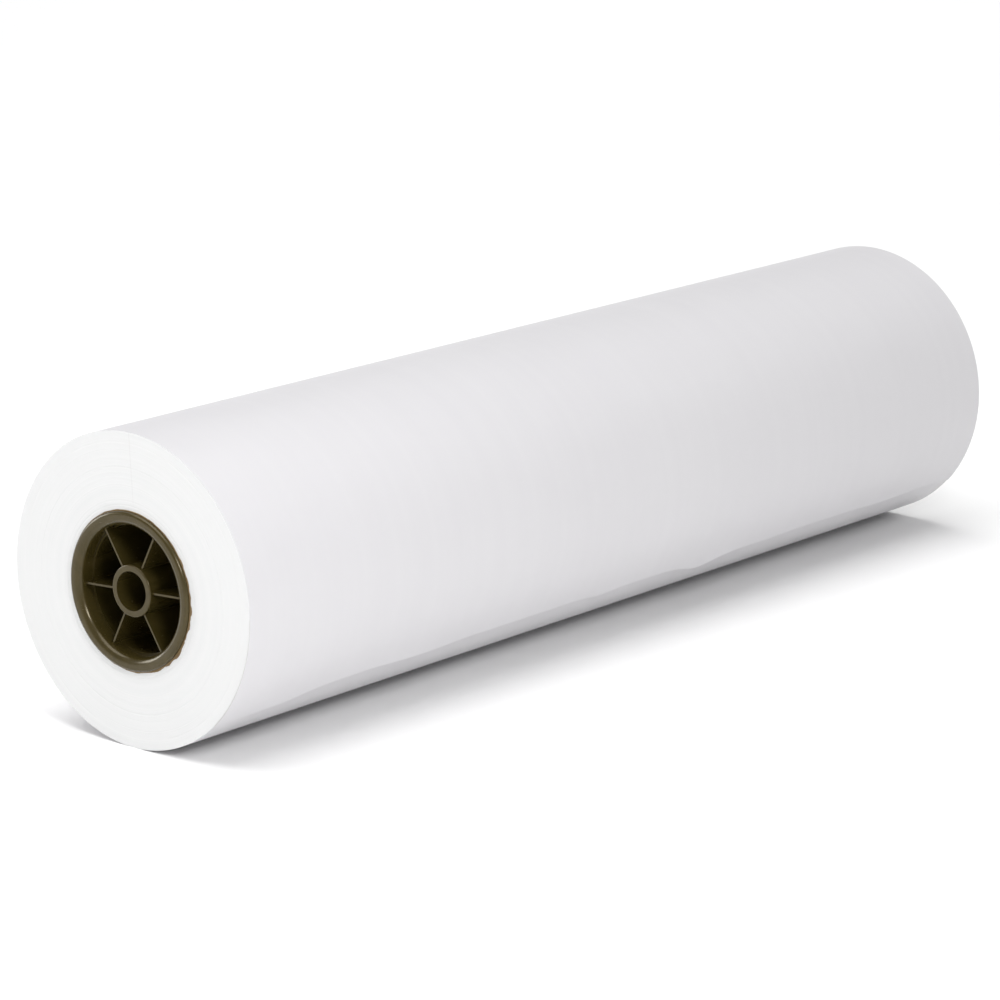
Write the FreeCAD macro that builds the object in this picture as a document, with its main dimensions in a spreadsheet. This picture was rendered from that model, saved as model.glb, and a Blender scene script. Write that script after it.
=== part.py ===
"""A roll of self-adhesive sign vinyl on a cardboard core, with a moulded plug in each end.

Millimetres. X runs along the roll, the roll lies on its side, Z is up, and the origin is on
the roll's axis at mid-length. The left end is at -X. The web (white film on a paper liner)
comes over the top and down the -Y side, where its free end, the tail, lies on the turn below.
"""
import FreeCAD, Part
import math
import os
import Sketcher

SHEET = "Sizes"
DRIVING_SIZES = (
    ("web_width", 685.8, "width of the web, so length of the roll and of its core"),
    ("roll_radius", 88.0, "outer turn, from the roll's axis"),
    ("film_gauge", 0.12, "vinyl film with its adhesive"),
    ("liner_gauge", 0.18, "coated paper liner"),
    ("core_bore_radius", 38.1, "inside of a three inch core"),
    ("core_wall", 6.7, "spiral-wound board"),
    ("tape_gauge", 0.2, "double-sided tape that starts the winding"),
    ("tape_width", 25.0, "tape, round the core"),
    ("tail_length", 61.4, "loose end of the web, root line to free edge"),
    ("lip_length", 25.0, "part of the tail whose film can be peeled back"),
    ("tail_bow", 3.5, "how far the tail's centre of curvature sits behind the roll's axis"),
    ("tail_clearance", 0.05, "between the tail and the turn under it, at the root line"),
    ("peel_clearance", 0.03, "between the peeling film and the liner"),
    ("bend_length", 4.5, "tail between two bends, along the web"),
    ("flange_inset", 0.55, "core's outside to the flange's edge"),
    ("flange_thickness", 2.4, "flange that bears on the core's end"),
    ("flange_round", 2.0, "flange's outer edge"),
    ("opening_round", 4.2, "flange's inner edge, round the opening"),
    ("hub_round", 0.8, "hub's front edge"),
    ("corner_round", 0.6, "moulded corners where the spokes meet hub and rim"),
    ("skirt_clearance", 0.3, "core's bore to the plug's skirt"),
    ("skirt_wall", 1.1, "skirt, from flange to ledge"),
    ("skirt_draft", 0.3, "how much the skirt's outside narrows to its end"),
    ("skirt_lead", 0.8, "chamfer at the skirt's end"),
    ("ledge_step", 1.0, "how far the ledge stands in from the opening"),
    ("ledge_depth", 8.0, "ledge, behind the flange's seat"),
    ("plug_depth", 34.0, "skirt and hub, behind the flange's seat"),
    ("hub_setback", 0.5, "hub's front, behind the flange's seat"),
    ("spoke_setback", 2.2, "spokes' front, behind the flange's seat"),
    ("spoke_depth", 30.0, "spokes' back, behind the flange's seat"),
    ("spoke_thickness", 1.1, "one spoke"),
    ("spoke_count", 6, "spokes"),
    ("spoke_turn", 3.15, "degrees that the spokes are turned from level"),
    ("hub_bore_radius", 11.0, "hole for a roll holder's rod"),
    ("hub_wall", 3.5, "hub tube"),
    ("rib_count", 12, "crush ribs round the skirt"),
    ("rib_width", 1.2, "one crush rib"),
    ("rib_clearance", 0.1, "core's bore to the top of a rib"),
    ("rib_setback", 4.0, "flange's seat to the start of a rib"),
    ("rib_length", 26.0, "one crush rib"),
)
ORIGIN_POINT = (-1, 1)
ACROSS_AXIS = -1
UP_AXIS = -2
ARC_START = 1
ARC_END = 2
CENTRE = 3
TURN = 360.0
SAME_PLACE = 1e-6

WEB_GAUGE = "(Sizes.film_gauge + Sizes.liner_gauge)"
CORE_RADIUS = "(Sizes.core_bore_radius + Sizes.core_wall)"
HALF_WIDTH = "Sizes.web_width / 2"
TAIL_RADIUS = "(Sizes.roll_radius + Sizes.tail_bow)"
SKIRT_RADIUS = "(Sizes.core_bore_radius - Sizes.skirt_clearance)"
OPENING_RADIUS = "(Sizes.core_bore_radius - Sizes.skirt_clearance - Sizes.skirt_wall)"
HUB_RADIUS = "(Sizes.hub_bore_radius + Sizes.hub_wall)"

doc = FreeCAD.newDocument("SignVinylRoll")


def make_sheet():
    """Write the driving sizes into the sheet, one row each, with the alias as the name."""
    sheet = doc.addObject("Spreadsheet::Sheet", SHEET)
    for row, (alias, value, meaning) in enumerate(DRIVING_SIZES, start=1):
        sheet.set(f"A{row}", meaning)
        sheet.set(f"B{row}", str(value))
        sheet.setAlias(f"B{row}", alias)
    doc.recompute()
    return sheet


sheet = make_sheet()


def size(formula):
    """Value of a formula over the sheet's sizes."""
    return float(sheet.evalExpression(formula))


def new_body(label):
    body = doc.addObject("PartDesign::Body", label)
    body.Label = label
    return body


def new_sketch(body, name, plane):
    """Sketch on one of the body's own origin planes."""
    sketch = body.newObject("Sketcher::SketchObject", name)
    support = next(item for item in body.Origin.OriginFeatures if item.Role == plane)
    sketch.AttachmentSupport = (support, [""])
    sketch.MapMode = "FlatFace"
    return sketch


def bind(sketch, constraint, formula):
    """Add a dimension to a sketch and drive it from the sheet."""
    index = sketch.addConstraint(constraint)
    sketch.setExpression(f"Constraints[{index}]", formula)


def hold_point(sketch, geometry, point, kind, side, formula):
    """Hold a sketch point on one side (+1 or -1) of the origin, at the formula's distance."""
    ends = (*ORIGIN_POINT, geometry, point)
    if side < 0:
        ends = (geometry, point, *ORIGIN_POINT)
    bind(sketch, Sketcher.Constraint(kind, *ends, size(formula)), formula)


def draw_outline(sketch, corners):
    """Closed outline of straight lines; a corner is ((side, formula), (side, formula))."""
    points = []
    for (across_side, across), (up_side, up) in corners:
        points.append(FreeCAD.Vector(across_side * size(across), up_side * size(up), 0))
    first = sketch.GeometryCount
    count = len(points)
    for index, point in enumerate(points):
        sketch.addGeometry(Part.LineSegment(point, points[(index + 1) % count]), False)
    for index in range(count):
        following = first + (index + 1) % count
        sketch.addConstraint(
            Sketcher.Constraint("Coincident", first + index, ARC_END, following, ARC_START))
    for index, ((across_side, across), (up_side, up)) in enumerate(corners):
        hold_point(sketch, first + index, ARC_START, "DistanceX", across_side, across)
        hold_point(sketch, first + index, ARC_START, "DistanceY", up_side, up)


def draw_box(sketch, across, up):
    """Rectangle between two (side, formula) limits across and two up."""
    left, right = across
    low, high = up
    draw_outline(sketch, ((left, low), (right, low), (right, high), (left, high)))


def draw_circle(sketch, formula):
    circle = Part.Circle(FreeCAD.Vector(0, 0, 0), FreeCAD.Vector(0, 0, 1), size(formula))
    index = sketch.addGeometry(circle, False)
    sketch.addConstraint(Sketcher.Constraint("Coincident", index, CENTRE, *ORIGIN_POINT))
    bind(sketch, Sketcher.Constraint("Radius", index, size(formula)), formula)


def draw_half_turn(sketch, centre_across, radius, upper):
    """Half circle centred on the level axis, above it or below it."""
    centre = FreeCAD.Vector(centre_across, 0, 0)
    circle = Part.Circle(centre, FreeCAD.Vector(0, 0, 1), size(radius))
    start = 0.0 if upper else math.pi
    index = sketch.addGeometry(Part.ArcOfCircle(circle, start, start + math.pi), False)
    bind(sketch, Sketcher.Constraint("Radius", index, size(radius)), radius)
    return index


def pad_both_ways(body, sketch, name, formula):
    """Pad a sketch symmetrically about its plane."""
    pad = body.newObject("PartDesign::Pad", name)
    pad.Profile = sketch
    pad.SideType = "Symmetric"
    pad.setExpression("Length", formula)
    body.Tip = pad
    return pad


def pad_inwards(body, sketch, name, formula):
    """Pad a sketch that faces outwards along +X, towards -X."""
    pad = body.newObject("PartDesign::Pad", name)
    pad.Profile = sketch
    pad.Reversed = True
    pad.setExpression("Length", formula)
    body.Tip = pad
    return pad


def ring_of(body, feature, name, formula):
    """Repeat a feature round the X axis."""
    ring = body.newObject("PartDesign::PolarPattern", name)
    ring.Originals = [feature]
    axis = next(item for item in body.Origin.OriginFeatures if item.Role == "X_Axis")
    ring.Axis = (axis, [""])
    ring.Angle = TURN
    ring.setExpression("Occurrences", formula)
    body.Tip = ring
    return ring


def round_edges(body, base, name, formula, wanted):
    """Round those edges of the base that the test picks."""
    doc.recompute()
    names = []
    for number, edge in enumerate(base.Shape.Edges, start=1):
        if wanted(edge):
            names.append(f"Edge{number}")
    fillet = body.newObject("PartDesign::Fillet", name)
    fillet.Base = (base, names)
    fillet.setExpression("Radius", formula)
    body.Tip = fillet
    return fillet


def make_core():
    """Board tube that the web is wound on, cut to the web's width."""
    body = new_body("cardboard_core")
    sketch = new_sketch(body, "core_section", "YZ_Plane")
    draw_circle(sketch, CORE_RADIUS)
    draw_circle(sketch, "Sizes.core_bore_radius")
    pad_both_ways(body, sketch, "core_tube", "Sizes.web_width")
    return body


def draw_tape_section(sketch):
    """Strip on top of the core: two arcs round the axis, joined by upright ends."""
    half = size("Sizes.tape_width / 2")
    arcs = []
    for radius in (CORE_RADIUS, f"{CORE_RADIUS} + Sizes.tape_gauge"):
        reach = math.asin(half / size(radius))
        circle = Part.Circle(FreeCAD.Vector(0, 0, 0), FreeCAD.Vector(0, 0, 1), size(radius))
        arc = Part.ArcOfCircle(circle, math.pi / 2 - reach, math.pi / 2 + reach)
        index = sketch.addGeometry(arc, False)
        sketch.addConstraint(Sketcher.Constraint("Coincident", index, CENTRE, *ORIGIN_POINT))
        bind(sketch, Sketcher.Constraint("Radius", index, size(radius)), radius)
        hold_point(sketch, index, ARC_START, "DistanceX", 1, "Sizes.tape_width / 2")
        hold_point(sketch, index, ARC_END, "DistanceX", -1, "Sizes.tape_width / 2")
        arcs.append((index, arc))
    (inner, inner_arc), (outer, outer_arc) = arcs
    right = sketch.addGeometry(Part.LineSegment(inner_arc.StartPoint, outer_arc.StartPoint), False)
    left = sketch.addGeometry(Part.LineSegment(outer_arc.EndPoint, inner_arc.EndPoint), False)
    for line, line_end, arc, arc_end in (
            (right, ARC_START, inner, ARC_START),
            (right, ARC_END, outer, ARC_START),
            (left, ARC_START, outer, ARC_END),
            (left, ARC_END, inner, ARC_END)):
        sketch.addConstraint(Sketcher.Constraint("Coincident", line, line_end, arc, arc_end))


def make_start_tape():
    """Double-sided tape along the core that holds the first turn of the web."""
    body = new_body("core_start_tape")
    sketch = new_sketch(body, "tape_section", "YZ_Plane")
    draw_tape_section(sketch)
    pad_both_ways(body, sketch, "tape_strip", "Sizes.web_width")
    return body


def make_wound_web():
    """All the turns but the tail.

    The outside is a spiral of two half circles: the lower one is smaller by half the web's
    gauge and its centre is shifted by as much, so one turn ends one gauge further in, in a
    step at the root line on the -Y side that the tail grows from.
    """
    body = new_body("wound_web")
    sketch = new_sketch(body, "web_section", "YZ_Plane")
    radius = size("Sizes.roll_radius")
    gauge = size(WEB_GAUGE)
    upper = draw_half_turn(sketch, 0.0, "Sizes.roll_radius", True)
    lower = draw_half_turn(sketch, gauge / 2, f"Sizes.roll_radius - {WEB_GAUGE} / 2", False)
    step = sketch.addGeometry(Part.LineSegment(
        FreeCAD.Vector(-radius, 0, 0), FreeCAD.Vector(gauge - radius, 0, 0)), False)
    sketch.addConstraint([
        Sketcher.Constraint("Coincident", upper, CENTRE, *ORIGIN_POINT),
        Sketcher.Constraint("PointOnObject", upper, ARC_START, ACROSS_AXIS),
        Sketcher.Constraint("PointOnObject", upper, ARC_END, ACROSS_AXIS),
        Sketcher.Constraint("PointOnObject", lower, CENTRE, ACROSS_AXIS),
        Sketcher.Constraint("PointOnObject", lower, ARC_START, ACROSS_AXIS),
        Sketcher.Constraint("Coincident", lower, ARC_END, upper, ARC_START),
        Sketcher.Constraint("Coincident", step, ARC_START, upper, ARC_END),
        Sketcher.Constraint("Coincident", step, ARC_END, lower, ARC_START),
    ])
    draw_circle(sketch, CORE_RADIUS)
    turns = pad_both_ways(body, sketch, "turns", "Sizes.web_width")
    doc.recompute()
    seat = new_sketch(body, "tape_seat_section", "YZ_Plane")
    draw_tape_section(seat)
    pocket = body.newObject("PartDesign::Pocket", "tape_seat")
    pocket.Profile = seat
    pocket.SideType = "Symmetric"
    pocket.setExpression("Length", "Sizes.web_width")
    body.Tip = pocket
    doc.recompute()
    if pocket.Shape.Volume >= turns.Shape.Volume:
        raise RuntimeError("the tape's seat cuts nothing")
    return body


def make_tail_layer(label, inner, outer, length):
    """Layer of the tail, bowed down the -Y side from a line level with the axis.

    It is one short bend of the web, repeated down to the layer's end.
    """
    body = new_body(label)
    sketch = new_sketch(body, f"{label}_section", "XY_Plane")
    draw_box(sketch, ((-1, HALF_WIDTH), (1, HALF_WIDTH)), ((-1, outer), (-1, inner)))
    bow = size("Sizes.tail_bow")
    line = Part.LineSegment(FreeCAD.Vector(-1, bow, 0), FreeCAD.Vector(1, bow, 0))
    axis = sketch.addGeometry(line, True)
    hold_point(sketch, axis, ARC_START, "DistanceX", -1, HALF_WIDTH)
    hold_point(sketch, axis, ARC_END, "DistanceX", 1, HALF_WIDTH)
    hold_point(sketch, axis, ARC_START, "DistanceY", 1, "Sizes.tail_bow")
    hold_point(sketch, axis, ARC_END, "DistanceY", 1, "Sizes.tail_bow")
    bends = f"ceil(({length}) / Sizes.bend_length)"
    bend_angle = f"({length}) / {TAIL_RADIUS} * 180 / pi / {bends}"
    bend = body.newObject("PartDesign::Revolution", f"{label}_bend")
    bend.Profile = sketch
    bend.ReferenceAxis = (sketch, ["Axis0"])
    bend.setExpression("Angle", bend_angle)
    body.Tip = bend
    doc.recompute()
    row = body.newObject("PartDesign::PolarPattern", f"{label}_bends")
    row.Originals = [bend]
    row.Axis = (sketch, ["Axis0"])
    row.Refine = False
    row.setExpression("Occurrences", bends)
    row.setExpression("Angle", f"{bend_angle} * ({bends} - 1)")
    body.Tip = row
    return body


def make_tail_liner():
    inner = f"Sizes.roll_radius - {WEB_GAUGE} + Sizes.tail_clearance"
    outer = "Sizes.roll_radius - Sizes.film_gauge"
    return make_tail_layer("tail_liner", inner, outer, "Sizes.tail_length")


def make_tail_film():
    inner = "Sizes.roll_radius - Sizes.film_gauge"
    length = "Sizes.tail_length - Sizes.lip_length"
    return make_tail_layer("tail_film", inner, "Sizes.roll_radius", length)


def make_film_lip():
    """Film at the tail's free edge, turned down the side to where the tail's film stops."""
    inner = "Sizes.roll_radius - Sizes.film_gauge + Sizes.peel_clearance"
    body = make_tail_layer("film_lip", inner, "Sizes.roll_radius", "Sizes.lip_length")
    start = size(f"(Sizes.tail_length - Sizes.lip_length) / {TAIL_RADIUS} * 180 / pi")
    centre = FreeCAD.Vector(0, size("Sizes.tail_bow"), 0)
    turn = FreeCAD.Rotation(FreeCAD.Vector(1, 0, 0), start)
    body.Placement = FreeCAD.Placement(FreeCAD.Vector(0, 0, 0), turn, centre)
    return body


def draw_rim_and_hub(sketch):
    """Half section of the plug's rim and of its hub; across is +X outwards, up is radius."""
    front = (1, "Sizes.flange_thickness")
    seat = (1, "0")
    ledge = (-1, "Sizes.ledge_depth")
    skirt_end = (-1, "Sizes.plug_depth")
    lead = (-1, "Sizes.plug_depth - Sizes.skirt_lead")
    flange_edge = (1, f"{CORE_RADIUS} - Sizes.flange_inset")
    opening = (1, OPENING_RADIUS)
    inside = (1, f"{OPENING_RADIUS} - Sizes.ledge_step")
    tip = (1, f"{SKIRT_RADIUS} - Sizes.skirt_draft - Sizes.skirt_lead")
    draw_outline(sketch, (
        (front, opening),
        (front, flange_edge),
        (seat, flange_edge),
        (seat, (1, SKIRT_RADIUS)),
        (lead, (1, f"{SKIRT_RADIUS} - Sizes.skirt_draft")),
        (skirt_end, tip),
        (skirt_end, inside),
        (ledge, inside),
        (ledge, opening)))
    hub_front = (-1, "Sizes.hub_setback")
    draw_box(sketch, (skirt_end, hub_front), ((1, "Sizes.hub_bore_radius"), (1, HUB_RADIUS)))


def lies_in_plane(edge, place):
    return all(abs(vertex.X - place) < SAME_PLACE for vertex in edge.Vertexes)


def is_circle(edge, place, radius):
    """Whole circle of that radius round the axis, in the plane across it at that place."""
    circle = edge.Curve
    if not isinstance(circle, Part.Circle):
        return False
    return lies_in_plane(edge, place) and abs(circle.Radius - radius) < SAME_PLACE


def is_spoke_corner(edge, back, front, hub_radius, inside_radius):
    """Straight edge along X where a spoke meets the hub or the skirt."""
    if not isinstance(edge.Curve, Part.Line) or len(edge.Vertexes) != 2:
        return False
    near, far = edge.Vertexes
    if math.hypot(near.Y - far.Y, near.Z - far.Z) > SAME_PLACE:
        return False
    radius = math.hypot(near.Y, near.Z)
    in_depth = min(near.X, far.X) > back - SAME_PLACE and max(near.X, far.X) < front + SAME_PLACE
    return in_depth and hub_radius - SAME_PLACE < radius < inside_radius + SAME_PLACE


def make_plug(label):
    """One moulding: flange and skirt, hub, spokes between them and crush ribs outside.

    The flange's seat is at x = 0 and its front faces +X.
    """
    body = new_body(label)
    profile = new_sketch(body, f"{label}_profile", "XY_Plane")
    draw_rim_and_hub(profile)
    turned = body.newObject("PartDesign::Revolution", f"{label}_rim_and_hub")
    turned.Profile = profile
    turned.ReferenceAxis = (profile, ["H_Axis"])
    turned.Angle = TURN
    body.Tip = turned
    doc.recompute()

    spoke_section = new_sketch(body, f"{label}_spoke_section", "YZ_Plane")
    spoke_section.setExpression("AttachmentOffset.Base.z", "-Sizes.spoke_setback")
    half_spoke = "Sizes.spoke_thickness / 2"
    root = (1, "Sizes.hub_bore_radius + Sizes.hub_wall / 2")
    reach = (1, f"{OPENING_RADIUS} + Sizes.skirt_wall / 2")
    draw_box(spoke_section, (root, reach), ((-1, half_spoke), (1, half_spoke)))
    depth = "Sizes.spoke_depth - Sizes.spoke_setback"
    spoke = pad_inwards(body, spoke_section, f"{label}_spoke", depth)
    spokes = ring_of(body, spoke, f"{label}_spokes", "Sizes.spoke_count")

    rib_section = new_sketch(body, f"{label}_rib_section", "YZ_Plane")
    rib_section.setExpression("AttachmentOffset.Base.z", "-Sizes.rib_setback")
    half_rib = "Sizes.rib_width / 2"
    foot = (1, f"{SKIRT_RADIUS} - Sizes.skirt_wall / 2")
    top = (1, "Sizes.core_bore_radius - Sizes.rib_clearance")
    draw_box(rib_section, (foot, top), ((-1, half_rib), (1, half_rib)))
    rib = pad_inwards(body, rib_section, f"{label}_rib", "Sizes.rib_length")
    ribs = ring_of(body, rib, f"{label}_ribs", "Sizes.rib_count")

    round_plug(body, label, ribs)
    doc.recompute()
    if spokes.Shape.Volume <= turned.Shape.Volume or len(body.Shape.Solids) != 1:
        raise RuntimeError("the spokes don't join the hub to the rim")
    return body


def round_plug(body, label, base):
    """Moulded rounds: spoke corners, hub's front edge and both edges of the flange."""
    flange_front = size("Sizes.flange_thickness")
    hub_front = -size("Sizes.hub_setback")
    spoke_front = -size("Sizes.spoke_setback")
    spoke_back = -size("Sizes.spoke_depth")
    flange_radius = size(f"{CORE_RADIUS} - Sizes.flange_inset")
    opening_radius = size(OPENING_RADIUS)
    hub_radius = size(HUB_RADIUS)
    cornered = round_edges(
        body, base, f"{label}_corner_round", "Sizes.corner_round",
        lambda edge: is_spoke_corner(edge, spoke_back, spoke_front, hub_radius, opening_radius))
    hub = round_edges(
        body, cornered, f"{label}_hub_round", "Sizes.hub_round",
        lambda edge: is_circle(edge, hub_front, hub_radius))
    outer = round_edges(
        body, hub, f"{label}_flange_round", "Sizes.flange_round",
        lambda edge: is_circle(edge, flange_front, flange_radius))
    round_edges(
        body, outer, f"{label}_opening_round", "Sizes.opening_round",
        lambda edge: is_circle(edge, flange_front, opening_radius))


def place_plug(body, side):
    """Seat a plug on the core's left (-1) or right (+1) end, with its spokes turned."""
    heading = 0 if side > 0 else 180
    across = FreeCAD.Rotation(FreeCAD.Vector(0, 0, 1), heading)
    turn = FreeCAD.Rotation(FreeCAD.Vector(1, 0, 0), size("Sizes.spoke_turn"))
    seat = FreeCAD.Vector(side * size(HALF_WIDTH), 0, 0)
    body.Placement = FreeCAD.Placement(seat, across.multiply(turn))


def check_document():
    """Stop if any object failed, before anything is written."""
    for item in doc.Objects:
        if "Invalid" in item.State or "Error" in item.State:
            raise RuntimeError(f"{item.Name} failed: {item.State}")


def write_pieces(pieces):
    """Write one file for each piece, named after its label."""
    for piece in pieces:
        shape = piece.Shape
        if shape.isNull() or not shape.isValid() or shape.Volume <= 0:
            raise RuntimeError(f"{piece.Label} is not a valid solid")
    os.makedirs("parts", exist_ok=True)
    for piece in pieces:
        piece.Shape.exportStep(os.path.join("parts", f"{piece.Label}.step"))


def main():
    left_plug = make_plug("left_plug")
    right_plug = make_plug("right_plug")
    place_plug(left_plug, -1)
    place_plug(right_plug, 1)
    pieces = [
        make_core(),
        make_start_tape(),
        make_wound_web(),
        make_tail_liner(),
        make_tail_film(),
        make_film_lip(),
        left_plug,
        right_plug,
    ]
    doc.recompute()
    check_document()
    write_pieces(pieces)


main()
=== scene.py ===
"""Looks of a roll of white sign vinyl on a cardboard core, with a moulded plug in each end.

Metres, in the model's frame: X along the roll, Z up, origin on the axis at mid-length. Angles
round the roll start at the root line on the -Y side, where the tail leaves the winding.
"""
import math
import random

import bpy
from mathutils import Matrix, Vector, noise


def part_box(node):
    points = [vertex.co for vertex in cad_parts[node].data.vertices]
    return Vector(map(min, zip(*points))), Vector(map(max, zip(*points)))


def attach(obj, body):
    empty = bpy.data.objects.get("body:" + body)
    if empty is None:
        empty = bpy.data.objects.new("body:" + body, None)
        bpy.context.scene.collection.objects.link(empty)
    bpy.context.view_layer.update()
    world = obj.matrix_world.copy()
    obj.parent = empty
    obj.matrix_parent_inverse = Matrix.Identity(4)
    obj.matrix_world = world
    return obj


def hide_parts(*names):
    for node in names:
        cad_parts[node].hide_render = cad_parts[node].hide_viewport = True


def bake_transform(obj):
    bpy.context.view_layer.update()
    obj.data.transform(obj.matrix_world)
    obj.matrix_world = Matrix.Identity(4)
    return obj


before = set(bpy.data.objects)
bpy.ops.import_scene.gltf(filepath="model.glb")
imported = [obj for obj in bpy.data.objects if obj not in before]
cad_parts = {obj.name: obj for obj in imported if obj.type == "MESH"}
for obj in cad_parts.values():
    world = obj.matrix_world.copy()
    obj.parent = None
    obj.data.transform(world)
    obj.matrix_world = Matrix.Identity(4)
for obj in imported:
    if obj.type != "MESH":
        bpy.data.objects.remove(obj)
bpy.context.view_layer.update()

MM = 0.001
TAU = 2 * math.pi

# Sizes read from the model.
WEB_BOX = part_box("wound_web")
CORE_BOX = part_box("cardboard_core")
HALF = WEB_BOX[1].x
WIDTH = 2 * HALF
RADIUS = WEB_BOX[1].z
CORE_RADIUS = CORE_BOX[1].z
FLOOR_Z = WEB_BOX[0].z

# Sizes that the boxes don't hold.
GAUGE = 0.30 * MM
FILM_GAUGE = 0.12 * MM
CORE_BORE = 38.1 * MM
TAIL_LENGTH = 61.4 * MM
LIP_LENGTH = 25.0 * MM
TAIL_START = TAIL_LENGTH - LIP_LENGTH

# Wound edges: bands of turns that stand a little in or out of the roll's end.
BAND_COUNT = 62
BAND_RELIEF = 0.01 * MM
PROUD_BAND_RELIEF = 0.04 * MM
GROOVE_DEPTH = 0.012 * MM
PROUD_SHARE = 0.12
EDGE_WAVE = 0.04 * MM
SKIN_RIPPLE = 0.02 * MM
# Painted shade: a faint darker line across the left end's turns, drawn in the colour where a crease
# would shade; its slant, darkness and half-width.
CREASE_SLANT = 0.06
PAINTED_CREASE_DARKNESS = 0.30
CREASE_HALF_WIDTH = 0.45 * MM
ROUND_STEPS = 288
LENGTH_STEPS = 72

# The tail lies closer to the winding than a circle would: its bow is small, and it lifts in places.
TAIL_BOW = 0.6 * MM
TAIL_GAP = 0.04 * MM
TAIL_STEPS = 44
TAIL_COLUMNS = 260
ROOT_EASE = 20 * MM

# Where the free edge dips: share of the width from the left end, half-width of the dip in
# metres, and how much further down the edge reaches there, in metres.
EDGE_DIPS = (
    (0.000, 0.050, 11.0 * MM),
    (0.075, 0.016, 2.2 * MM),
    (0.250, 0.020, 1.2 * MM),
    (0.465, 0.013, 2.4 * MM),
    (0.602, 0.017, 5.0 * MM),
    (0.700, 0.018, 1.2 * MM),
    (0.870, 0.014, 1.2 * MM),
    (0.995, 0.020, 3.6 * MM),
)
EDGE_RISE = 1.2 * MM
# Where the free edge lifts off: share of the width, half-width and height of the lift.
EDGE_LIFTS = (
    (0.215, 0.024, 0.9 * MM),
    (0.610, 0.030, 1.3 * MM),
    (0.900, 0.020, 0.4 * MM),
)
BASE_LIFT = 1.0 * MM
END_HOLD = 30.0 * MM
LIFT_REACH = 15.0 * MM

# Frayed board at the core's cut ends: how far it reaches, how proud it stands, and where.
FRAY_REACH = 1.6 * MM
FRAY_PROUD = 0.15 * MM
FRAY_PLACE = math.radians(-25)
FRAY_SPREAD = 0.5
CORE_STEPS = 480

FLOOR_HALF = 14.0


# ---------------------------------------------------------------- mesh helpers

def make_object(name, points, faces, material, sharp_degrees=35):
    """Mesh object with smooth shading that breaks at edges sharper than the angle."""
    mesh = bpy.data.meshes.new(name)
    mesh.from_pydata(points, [], faces)
    mesh.validate()
    mesh.update()
    mesh.shade_smooth()
    mesh.set_sharp_from_angle(angle=math.radians(sharp_degrees))
    obj = bpy.data.objects.new(name, mesh)
    bpy.context.scene.collection.objects.link(obj)
    obj.data.materials.append(material)
    return obj


def grid_faces(first, rows, columns, closed=False, flip=False):
    """Quads over a grid of points stored row by row; closed joins the last column to the first."""
    faces = []
    for row in range(rows - 1):
        for column in range(columns if closed else columns - 1):
            after = (column + 1) % columns
            a = first + row * columns + column
            b = first + row * columns + after
            c = first + (row + 1) * columns + after
            d = first + (row + 1) * columns + column
            faces.append((a, d, c, b) if flip else (a, b, c, d))
    return faces


def smooth_noise(*coordinates):
    """Smooth noise between -1 and 1 at up to three coordinates."""
    return noise.noise(Vector((*coordinates, 0.0, 0.0)[:3]))


def bell(distance, half_width):
    return math.exp(-(distance / half_width) ** 2)


# ---------------------------------------------------------------- node helpers

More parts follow.
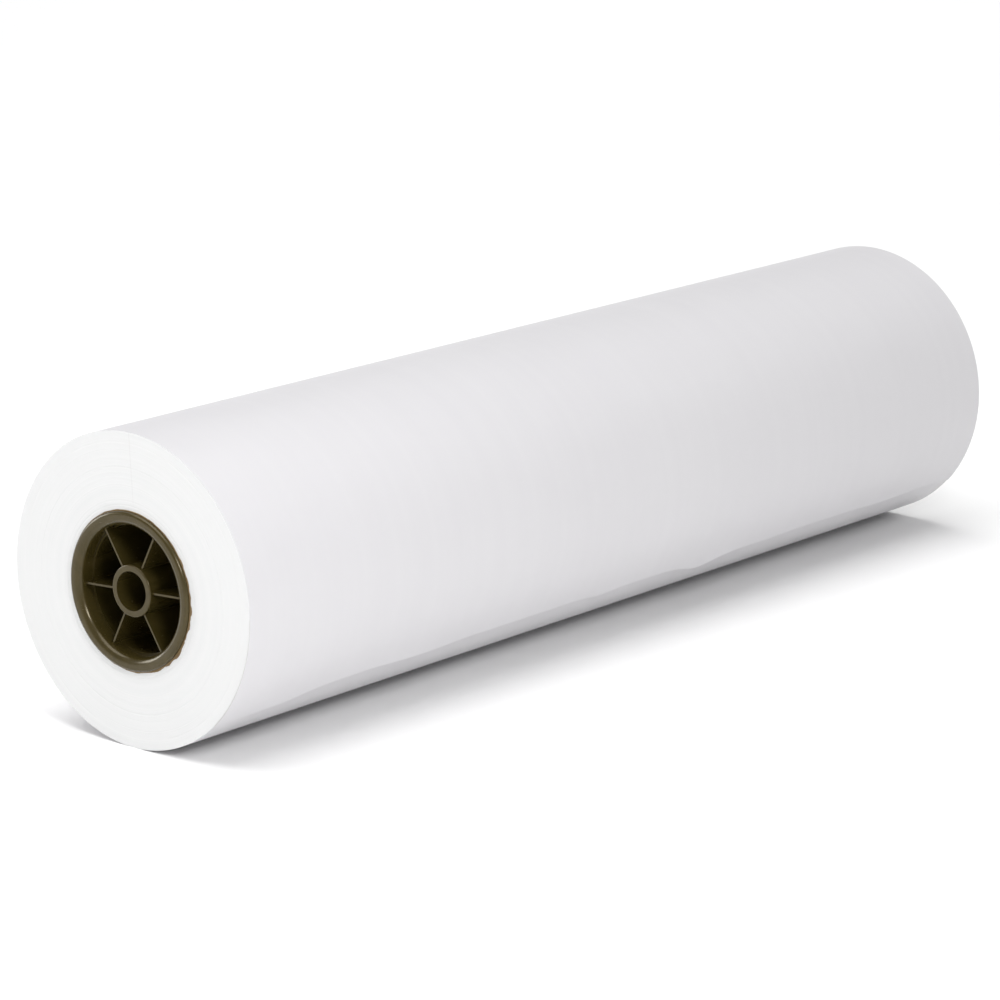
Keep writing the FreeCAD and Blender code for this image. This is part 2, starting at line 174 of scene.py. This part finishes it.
class Shader:
    """A principled material under construction, with short calls for the nodes it needs."""

    def __init__(self, name):
        self.material = bpy.data.materials.new(name)
        self.material.use_nodes = True
        self.tree = self.material.node_tree
        self.surface = self.tree.nodes["Principled BSDF"]
        self.position = self.add("ShaderNodeTexCoord").outputs["Object"]

    def add(self, kind, **settings):
        node = self.tree.nodes.new(kind)
        for key, value in settings.items():
            setattr(node, key, value)
        return node

    def feed(self, socket, value):
        if isinstance(value, bpy.types.NodeSocket):
            self.tree.links.new(value, socket)
        else:
            socket.default_value = value

    def math(self, operation, first, second=0.0):
        node = self.add("ShaderNodeMath", operation=operation)
        self.feed(node.inputs[0], first)
        self.feed(node.inputs[1], second)
        return node.outputs[0]

    def stretch(self, scale, turn=(0.0, 0.0, 0.0)):
        """Position scaled along each axis, so that a texture on it is squeezed or drawn out."""
        node = self.add("ShaderNodeMapping")
        self.feed(node.inputs["Vector"], self.position)
        node.inputs["Scale"].default_value = scale
        node.inputs["Rotation"].default_value = turn
        return node.outputs[0]

    def noise(self, vector, scale, detail=3.0, roughness=0.55, distortion=0.0):
        node = self.add("ShaderNodeTexNoise")
        self.feed(node.inputs["Vector"], vector)
        node.inputs["Scale"].default_value = scale
        node.inputs["Detail"].default_value = detail
        node.inputs["Roughness"].default_value = roughness
        node.inputs["Distortion"].default_value = distortion
        return node.outputs["Fac"]

    def line_noise(self, value, scale, detail=3.0):
        """Noise along one number, such as a radius or a length."""
        node = self.add("ShaderNodeTexNoise", noise_dimensions="1D")
        self.feed(node.inputs["W"], value)
        node.inputs["Scale"].default_value = scale
        node.inputs["Detail"].default_value = detail
        return node.outputs["Fac"]

    def ramp(self, value, *stops):
        """Colour ramp; a stop is (place, colour)."""
        node = self.add("ShaderNodeValToRGB")
        self.feed(node.inputs["Fac"], value)
        elements = node.color_ramp.elements
        while len(elements) < len(stops):
            elements.new(0.5)
        for element, (place, colour) in zip(elements, stops):
            element.position = place
            element.color = (*colour, 1.0)
        return node.outputs["Color"]

    def spread(self, value, low, high, from_low=0.3, from_high=0.7):
        """A noise's usual range mapped on to low..high."""
        node = self.add("ShaderNodeMapRange")
        self.feed(node.inputs["Value"], value)
        node.inputs["From Min"].default_value = from_low
        node.inputs["From Max"].default_value = from_high
        node.inputs["To Min"].default_value = low
        node.inputs["To Max"].default_value = high
        return node.outputs["Result"]

    def mix(self, share, under, over):
        """A colour socket with a plain colour laid over it by the share."""
        node = self.add("ShaderNodeMix", data_type="RGBA")
        self.feed(node.inputs["Factor"], share)
        self.feed(node.inputs[6], under)
        self.feed(node.inputs[7], (*over, 1.0))
        return node.outputs[2]

    def bump(self, height, distance, strength=1.0, under=None):
        node = self.add("ShaderNodeBump")
        self.feed(node.inputs["Height"], height)
        node.inputs["Distance"].default_value = distance
        node.inputs["Strength"].default_value = strength
        if under is not None:
            self.feed(node.inputs["Normal"], under)
        return node.outputs["Normal"]

    def axis_radius(self):
        """Distance from the roll's axis."""
        parts = self.add("ShaderNodeSeparateXYZ")
        self.feed(parts.inputs[0], self.position)
        across = self.math("MULTIPLY", parts.outputs["Y"], parts.outputs["Y"])
        up = self.math("MULTIPLY", parts.outputs["Z"], parts.outputs["Z"])
        return self.math("SQRT", self.math("ADD", across, up))

    def finish(self, **sockets):
        for name, value in sockets.items():
            self.feed(self.surface.inputs[name.replace("_", " ")], value)
        return self.material


# ---------------------------------------------------------------- materials

def vinyl_material():
    """White calendered film: satin, faintly banded along the roll, with a fine leathery skin."""
    shader = Shader("white_vinyl")
    clouds = shader.noise(shader.stretch((4.0, 9.0, 9.0)), 1.0, 4.0)
    bands = shader.noise(shader.stretch((90.0, 1.2, 1.2)), 1.0, 2.0)
    tone = shader.math("ADD", shader.math("MULTIPLY", clouds, 0.6), shader.math("MULTIPLY", bands, 0.4))
    colour = shader.ramp(tone, (0.3, (0.648, 0.638, 0.657)), (0.7, (0.672, 0.664, 0.679)))
    grain = shader.noise(shader.position, 1900.0, 2.0)
    ripple = shader.noise(shader.stretch((26.0, 7.0, 7.0)), 1.0, 2.0)
    waves = shader.bump(ripple, 0.12 * MM, 0.5)
    skin = shader.bump(grain, 0.02 * MM, 0.35, waves)
    rough = shader.spread(shader.noise(shader.position, 55.0, 3.0), 0.40, 0.50)
    return shader.finish(Base_Color=colour, Roughness=rough, Normal=skin, Specular_IOR_Level=0.45)


def painted_crease_shade(shader):
    """Painted shade of a faint crease across the left end's turns, running down from the top beside the
    middle: a darker line in the colour only, with no groove in the mesh.
    """
    parts = shader.add("ShaderNodeSeparateXYZ")
    shader.feed(parts.inputs[0], shader.position)
    x, y, z = parts.outputs
    drift = shader.math("MULTIPLY", shader.math("SUBTRACT", 0.97 * RADIUS, z), CREASE_SLANT)
    aside = shader.math("ABSOLUTE", shader.math("ADD", shader.math("ADD", y, 0.015 * RADIUS), drift))
    line = shader.spread(aside, PAINTED_CREASE_DARKNESS, 0.0, 0.0, CREASE_HALF_WIDTH)
    above = shader.spread(z, 0.0, 1.0, 0.52 * RADIUS, 0.60 * RADIUS)
    on_left = shader.math("LESS_THAN", x, 0.0)
    return shader.math("MULTIPLY", line, shader.math("MULTIPLY", above, on_left))


def wound_edge_material():
    """Cut edges of the turns: film and liner in fine rings, some groups of turns a shade darker."""
    shader = Shader("wound_edges")
    radius = shader.axis_radius()
    wobble = shader.math("MULTIPLY", shader.noise(shader.position, 30.0, 2.0), 0.6 * MM)
    turn = shader.math("ADD", radius, wobble)
    groups = shader.line_noise(turn, 260.0, 4.0)
    turns = shader.line_noise(turn, 3300.0, 2.0)
    clouds = shader.noise(shader.position, 14.0, 3.0)
    colour = shader.ramp(groups, (0.30, (0.744, 0.748, 0.747)), (0.55, (0.754, 0.756, 0.755)),
                         (0.75, (0.760, 0.761, 0.760)))
    colour = shader.mix(shader.spread(turns, 0.0, 0.03), colour, (0.70, 0.69, 0.66))
    colour = shader.mix(shader.spread(clouds, 0.0, 0.04), colour, (0.78, 0.77, 0.80))
    # Painted shade along the crease line, mixed into the wound edges' colour.
    colour = shader.mix(painted_crease_shade(shader), colour, (0.60, 0.58, 0.58))
    ridges = shader.bump(turns, 0.02 * MM, 0.3, shader.bump(groups, 0.02 * MM, 0.3))
    return shader.finish(Base_Color=colour, Roughness=0.62, Normal=ridges, Specular_IOR_Level=0.3)


def liner_material():
    """Back of the release liner: smooth coated paper, a little warmer than the film."""
    shader = Shader("release_liner")
    fibres = shader.noise(shader.stretch((420.0, 900.0, 900.0)), 1.0, 4.0, 0.6, 0.8)
    clouds = shader.noise(shader.position, 24.0, 4.0)
    colour = shader.ramp(clouds, (0.3, (0.60, 0.585, 0.53)), (0.7, (0.64, 0.625, 0.575)))
    colour = shader.mix(shader.spread(fibres, 0.0, 0.12), colour, (0.52, 0.50, 0.44))
    skin = shader.bump(fibres, 0.03 * MM, 0.4)
    return shader.finish(Base_Color=colour, Roughness=0.55, Normal=skin, Specular_IOR_Level=0.35)


def board_material():
    """Kraft core board: brown, fibrous, with the spiral joints of its plies."""
    shader = Shader("core_board")
    fibres = shader.noise(shader.stretch((300.0, 1400.0, 1400.0)), 1.0, 5.0, 0.65, 1.2)
    clouds = shader.noise(shader.position, 45.0, 4.0)
    colour = shader.ramp(clouds, (0.3, (0.15, 0.098, 0.045)), (0.7, (0.24, 0.165, 0.085)))
    colour = shader.mix(shader.spread(fibres, 0.0, 0.5), colour, (0.13, 0.082, 0.036))
    plies = shader.line_noise(shader.axis_radius(), 1500.0, 1.0)
    colour = shader.mix(shader.spread(plies, 0.0, 0.35), colour, (0.36, 0.27, 0.165))
    skin = shader.bump(fibres, 0.10 * MM, 0.6)
    return shader.finish(Base_Color=colour, Roughness=0.88, Normal=skin, Specular_IOR_Level=0.2)


def tape_material():
    """Double-sided tape: cloudy adhesive on a fine cross-laid tissue."""
    shader = Shader("start_tape")
    tissue = shader.noise(shader.stretch((1500.0, 500.0, 500.0)), 1.0, 4.0)
    colour = shader.ramp(tissue, (0.3, (0.52, 0.46, 0.32)), (0.7, (0.66, 0.61, 0.47)))
    skin = shader.bump(tissue, 0.04 * MM, 0.4)
    rough = shader.spread(shader.noise(shader.position, 90.0), 0.25, 0.45)
    return shader.finish(Base_Color=colour, Roughness=rough, Normal=skin)


def plug_material():
    """Glossy olive-brown moulding: faint flow marks, orange-peel skin, dusty scuffs."""
    shader = Shader("plug_moulding")
    flow = shader.noise(shader.stretch((30.0, 60.0, 60.0)), 1.0, 3.0, 0.5, 1.5)
    colour = shader.ramp(flow, (0.30, (0.035, 0.026, 0.006)), (0.70, (0.047, 0.035, 0.010)))
    dust = shader.noise(shader.position, 900.0, 3.0, 0.7)
    colour = shader.mix(shader.spread(dust, 0.0, 0.02, 0.55, 0.75), colour, (0.30, 0.27, 0.21))
    peel = shader.noise(shader.position, 160.0, 1.0)
    scuffs = shader.noise(shader.stretch((500.0, 120.0, 900.0), (0.6, 0.2, 0.9)), 1.0, 3.0)
    skin = shader.bump(peel, 0.02 * MM, 0.2)
    rough = shader.spread(scuffs, 0.22, 0.28, 0.4, 0.75)
    return shader.finish(Base_Color=colour, Roughness=rough, Normal=skin, Specular_IOR_Level=0.54,
                         Specular_Tint=(1.0, 0.88, 0.66, 1.0))


def floor_material():
    """Plain pale studio sweep with a very faint mottle."""
    shader = Shader("pale_floor")
    clouds = shader.noise(shader.position, 1.5, 2.0)
    colour = shader.ramp(clouds, (0.3, (0.94, 0.94, 0.94)), (0.7, (0.96, 0.96, 0.96)))
    return shader.finish(Base_Color=colour, Roughness=0.9, Specular_IOR_Level=0.1)


# ---------------------------------------------------------------- wound web

def web_outside(turn):
    """Point (y, z) of the winding's outside; turn runs 0 to 1 from the root line over the top."""
    angle = turn * TAU
    if turn <= 0.5:
        return -RADIUS * math.cos(angle), RADIUS * math.sin(angle)
    smaller = RADIUS - GAUGE / 2
    return GAUGE / 2 - smaller * math.cos(angle), smaller * math.sin(angle)


def web_ripple(x, turn):
    """How far the outside stands off its true shape: soft hoops that fade round the roll."""
    hoops = smooth_noise(x * 38.0, math.cos(turn * TAU) * 0.8, math.sin(turn * TAU) * 0.8)
    return -SKIN_RIPPLE * (1.0 + hoops)


def band_radii(rng):
    """Radii of the band edges, from the core out to just under the last turn."""
    outermost = RADIUS - 3 * GAUGE
    weights = [rng.uniform(0.6, 1.6) for _ in range(BAND_COUNT)]
    total = sum(weights)
    radii = [CORE_RADIUS]
    for weight in weights:
        radii.append(radii[-1] + (outermost - CORE_RADIUS) * weight / total)
    return radii


def end_rings(rng):
    """Rings (radius, standing-out) across a wound end, from the core outwards."""
    radii = band_radii(rng)
    rings = []
    for inner, outer in zip(radii, radii[1:]):
        proud = rng.uniform(-BAND_RELIEF, BAND_RELIEF)
        if rng.random() < PROUD_SHARE:
            proud -= rng.uniform(0.0, PROUD_BAND_RELIEF)
        lip = 0.12 * (outer - inner)
        rings.append((inner, proud - GROOVE_DEPTH))
        rings.append((inner + lip, proud))
        rings.append((outer - lip, proud))
    rings.append((radii[-1], -GROOVE_DEPTH))
    return rings


def add_end(points, faces, side, rng, edge_ids):
    """Wound end at one side (-1 or +1); returns the ids of its innermost ring."""
    rings = end_rings(rng)
    first = len(points)
    for radius, proud in rings:
        for step in range(ROUND_STEPS):
            turn = step / ROUND_STEPS
            angle = turn * TAU
            wave = EDGE_WAVE * smooth_noise(radius * 160, math.cos(angle), math.sin(angle))
            points.append((side * (HALF + proud + wave - PROUD_BAND_RELIEF / 2),
                           -radius * math.cos(angle), radius * math.sin(angle)))
    faces.extend(grid_faces(first, len(rings), ROUND_STEPS, closed=True, flip=side > 0))
    last = first + (len(rings) - 1) * ROUND_STEPS
    for step in range(ROUND_STEPS):
        quad = (last + step, last + (step + 1) % ROUND_STEPS, edge_ids[step + 1], edge_ids[step])
        faces.append(quad[::-1] if side > 0 else quad)
    faces.append((last, edge_ids[0], edge_ids[-1])[::side])
    return [first + step for step in range(ROUND_STEPS)]


def make_wound_web(vinyl, edges):
    """All turns but the tail: spiral outside, step at the root line, wound ends and bore."""
    rng = random.Random(4)
    points = []
    columns = ROUND_STEPS + 1
    for row in range(LENGTH_STEPS + 1):
        x = -HALF + WIDTH * row / LENGTH_STEPS
        for step in range(columns):
            turn = step / ROUND_STEPS
            y, z = web_outside(turn)
            scale = 1 + web_ripple(x, turn) / RADIUS
            points.append((x, y * scale, z * scale))
    faces = grid_faces(0, LENGTH_STEPS + 1, columns)
    skin_count = len(faces)
    # The step at the root line, where the last turn's cut edge shows.
    for row in range(LENGTH_STEPS):
        near = row * columns
        far = near + columns
        faces.append((near, far, far + ROUND_STEPS, near + ROUND_STEPS))
    left_ids = list(range(columns))
    right_ids = [LENGTH_STEPS * columns + step for step in range(columns)]
    left = add_end(points, faces, -1, rng, left_ids)
    right = add_end(points, faces, 1, rng, right_ids)
    for step in range(ROUND_STEPS):
        after = (step + 1) % ROUND_STEPS
        faces.append((left[step], left[after], right[after], right[step])[::-1])
    web = make_object("wound_web_turns", points, faces, vinyl, 40)
    web.data.materials.append(edges)
    for polygon in web.data.polygons:
        if polygon.index >= skin_count:
            polygon.material_index = 1
    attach(web, "roll")
    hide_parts("wound_web")


# ---------------------------------------------------------------- tail

def edge_reach(share):
    """How far down the free edge lies from the root line, at a share of the web's width."""
    reach = TAIL_LENGTH - EDGE_RISE
    for place, half_width, depth in EDGE_DIPS:
        reach += depth * bell((share - place) * WIDTH, half_width)
    reach += 0.5 * MM * smooth_noise(share * 31.0, 3.0)
    return reach


def edge_lift(share, to_edge):
    """How far the tail stands off the winding, at a share of the width and length from the edge."""
    lift = 0.0
    for place, half_width, height in EDGE_LIFTS:
        lift += height * bell((share - place) * WIDTH, half_width)
    to_end = min(share, 1 - share) * WIDTH
    lift += BASE_LIFT * (1 + 0.3 * smooth_noise(share * 13.0, 7.0)) * (1 - bell(to_end, END_HOLD))
    return lift * max(0.0, 1 - to_edge / LIFT_REACH) ** 2


def tail_point(share, along, depth):
    """Point of the tail: share of the width, length down from the root, depth below the skin."""
    bow_radius = RADIUS + TAIL_BOW
    angle = along / bow_radius
    to_edge = edge_reach(share) - along
    ease = min(1.0, along / ROOT_EASE)
    lift = edge_lift(share, max(0.0, to_edge)) * ease
    x = -HALF + WIDTH * share
    drop = TAIL_GAP * ease - web_ripple(x, 0.0) * (1 - ease)
    radius = bow_radius + lift + drop - depth
    if along <= 0:
        radius = bow_radius + web_ripple(x, 0.0) - depth
    return x, TAIL_BOW - radius * math.cos(angle), -radius * math.sin(angle)


def sheet_points(start, end_at, top, bottom, rows):
    """Closed thin sheet from one length to another: top skin, bottom skin and four rims."""
    points = []
    for depth in (top, bottom):
        for row in range(rows + 1):
            for column in range(TAIL_COLUMNS + 1):
                share = column / TAIL_COLUMNS
                along = start + (end_at(share) - start) * row / rows
                points.append(tail_point(share, along, depth))
    columns = TAIL_COLUMNS + 1
    below = (rows + 1) * columns
    faces = grid_faces(0, rows + 1, columns)
    faces += grid_faces(below, rows + 1, columns, flip=True)
    for column in range(TAIL_COLUMNS):
        faces.append((column + 1, column, below + column, below + column + 1))
        low = rows * columns + column
        faces.append((low, low + 1, below + low + 1, below + low))
    for row in range(rows):
        left = row * columns
        right = left + columns - 1
        faces.append((left, left + columns, below + left + columns, below + left))
        faces.append((right + columns, right, below + right, below + right + columns))
    return points, faces


def make_tail(vinyl, liner):
    """Liner and film from the root line down, and the film's last stretch, which peels."""
    points, faces = sheet_points(0.0, edge_reach, FILM_GAUGE, GAUGE - TAIL_GAP, TAIL_STEPS)
    backing = make_object("tail_liner_sheet", points, faces, liner)
    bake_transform(backing)
    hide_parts("tail_liner")

    points, faces = sheet_points(0.0, lambda share: TAIL_START, 0.0, FILM_GAUGE, TAIL_STEPS // 2)
    film = make_object("tail_film_sheet", points, faces, vinyl)
    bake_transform(film)
    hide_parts("tail_film")

    points, faces = sheet_points(TAIL_START, edge_reach, 0.0, FILM_GAUGE, TAIL_STEPS // 2)
    lip = make_object("film_lip_sheet", points, faces, vinyl)
    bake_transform(lip)
    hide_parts("film_lip")


# ---------------------------------------------------------------- core

def fray(angle):
    """How far the cut board stands out past the core at an angle from the -Y side, in metres."""
    tufts = max(0.0, smooth_noise(math.cos(angle) * 7.0, math.sin(angle) * 7.0, 4.0) + 0.25)
    fine = max(0.0, smooth_noise(math.cos(angle) * 26.0, math.sin(angle) * 26.0, 9.0))
    low_right = bell(math.sin((angle - FRAY_PLACE) / 2), FRAY_SPREAD)
    return FRAY_REACH * (0.12 + low_right) * (tufts + 0.4 * fine)


def board_ring(x, radius, outwards):
    """Ring of points across the roll; its radius grows by that share of the fray."""
    points = []
    for step in range(CORE_STEPS):
        angle = step / CORE_STEPS * TAU
        reach = radius + outwards * fray(angle)
        points.append((x, -reach * math.cos(angle), reach * math.sin(angle)))
    return points


def make_core(board):
    """Board tube whose cut ends fray outwards in tufts, mostly low on the tail's side."""
    profile = [(CORE_BORE, 0.0, 0.0), (CORE_BORE, FRAY_PROUD, 0.0), (CORE_RADIUS, FRAY_PROUD, 0.6),
               (CORE_RADIUS, FRAY_PROUD / 2, 1.0), (CORE_RADIUS, -1.5 * MM, 0.0)]
    near = [(-HALF - out, radius, grow) for radius, out, grow in profile]
    far = [(HALF + out, radius, grow) for radius, out, grow in reversed(profile)]
    points = []
    for x, radius, grow in near + far:
        points += board_ring(x, radius, grow)
    faces = grid_faces(0, len(near + far), CORE_STEPS, closed=True)
    last = (len(near + far) - 1) * CORE_STEPS
    for step in range(CORE_STEPS):
        after = (step + 1) % CORE_STEPS
        faces.append((last + step, last + after, after, step))
    core = make_object("core_board_tube", points, faces, board)
    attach(core, "roll")
    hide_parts("cardboard_core")


# ---------------------------------------------------------------- carried-over nodes

def dress_node(node, material):
    """Give a CAD node that stays its procedural material."""
    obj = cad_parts[node]
    obj.data.materials.clear()
    obj.data.materials.append(material)


# ---------------------------------------------------------------- stage

def make_floor():
    points = [(x * FLOOR_HALF, y * FLOOR_HALF, FLOOR_Z) for x, y in ((-1, -1), (1, -1), (1, 1), (-1, 1))]
    floor = make_object("studio_floor", points, [(0, 1, 2, 3)], floor_material())


def add_softbox(name, place, aim, size, power):
    light = bpy.data.lights.new(name, "AREA")
    light.shape = "RECTANGLE"
    light.size, light.size_y = size
    light.energy = power
    obj = bpy.data.objects.new(name, light)
    obj.location = place
    heading = Vector(aim) - Vector(place)
    obj.rotation_euler = heading.to_track_quat("-Z", "Y").to_euler()
    bpy.context.scene.collection.objects.link(obj)


def add_sky_lamp(angle_degrees, strength):
    """Wide soft light from overhead, which keeps the floor evenly white."""
    light = bpy.data.lights.new("overhead", "SUN")
    light.angle = math.radians(angle_degrees)
    light.energy = strength
    obj = bpy.data.objects.new("overhead", light)
    obj.rotation_euler = Vector((0.10, -0.10, -1.0)).to_track_quat("-Z", "Y").to_euler()
    bpy.context.scene.collection.objects.link(obj)


def make_world():
    """Studio surround: white near the horizon, dimmer overhead, the same all the way round."""
    world = bpy.data.worlds.new("studio")
    world.use_nodes = True
    tree = world.node_tree
    heading = tree.nodes.new("ShaderNodeTexCoord").outputs["Generated"]
    parts = tree.nodes.new("ShaderNodeSeparateXYZ")
    tree.links.new(heading, parts.inputs[0])
    dimming = tree.nodes.new("ShaderNodeMapRange")
    tree.links.new(parts.outputs["Z"], dimming.inputs["Value"])
    dimming.interpolation_type = "SMOOTHSTEP"
    for name, value in (("From Min", 0.05), ("From Max", 0.16), ("To Min", 1.0), ("To Max", 0.38)):
        dimming.inputs[name].default_value = value
    background = tree.nodes["Background"]
    background.inputs["Color"].default_value = (1.0, 1.0, 1.0, 1.0)
    tree.links.new(dimming.outputs["Result"], background.inputs["Strength"])
    return world


def make_lights():
    add_softbox("side_softbox", (-0.75, -0.95, 0.66), (-0.70, 0, 0), (0.3, 0.3), 6.0)
    add_softbox("rim_softbox", (-0.72, 1.15, 0.28), (-0.35, 0, 0), (0.45, 0.45), 4.0)
    add_sky_lamp(60, 2.18)
    bpy.context.scene.world = make_world()
    bpy.context.scene.view_settings.view_transform = "Standard"


def make_camera():
    """Long lens, a little above the roll, off its left end on the tail's side."""
    camera = bpy.data.cameras.new("camera")
    camera.lens = 148.8
    camera.sensor_width = 36.0
    obj = bpy.data.objects.new("camera", camera)
    obj.location = (-1.8535, -1.5255, 0.5944)
    forward = Vector((0.7426, 0.6227, -0.2465))
    obj.rotation_euler = forward.to_track_quat("-Z", "Y").to_euler()
    bpy.context.scene.collection.objects.link(obj)
    bpy.context.scene.camera = obj


make_camera()
make_lights()
make_floor()
VINYL = vinyl_material()
make_wound_web(VINYL, wound_edge_material())
make_tail(VINYL, liner_material())
make_core(board_material())
dress_node("core_start_tape", tape_material())
PLUG = plug_material()
dress_node("left_plug", PLUG)
dress_node("right_plug", PLUG)
